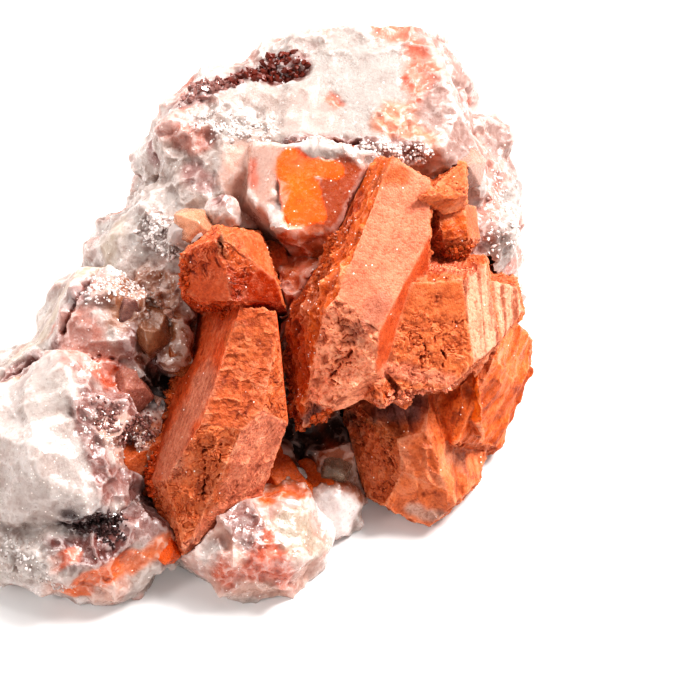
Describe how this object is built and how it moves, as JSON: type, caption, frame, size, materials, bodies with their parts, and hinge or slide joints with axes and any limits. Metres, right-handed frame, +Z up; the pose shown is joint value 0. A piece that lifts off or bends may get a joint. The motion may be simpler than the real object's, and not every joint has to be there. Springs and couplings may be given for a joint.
{
  "type": "hematite quartz crystal cluster",
  "caption": "Hand-sized lump of milky quartz with a group of blunt hematite-red quartz crystals on its sloping side, flat underneath.",
  "frame": {"origin": "middle of the flat base", "axes": "+Z up from the base, +X along the length from the white end to the large crystals, -Y the side that the crystals face"},
  "size_m": [0.082, 0.074, 0.0409],
  "materials": {
    "milky_quartz": "broken milky quartz, satin to glassy, with pink, orange and grey stains",
    "red_quartz": "quartz coloured red-orange by hematite, satin faces with rough plated tips"
  },
  "bodies": {
    "root": {"matrix": "milky_quartz", "crystals_right": "red_quartz", "crystals_left": "red_quartz"}
  },
  "joints": []
}
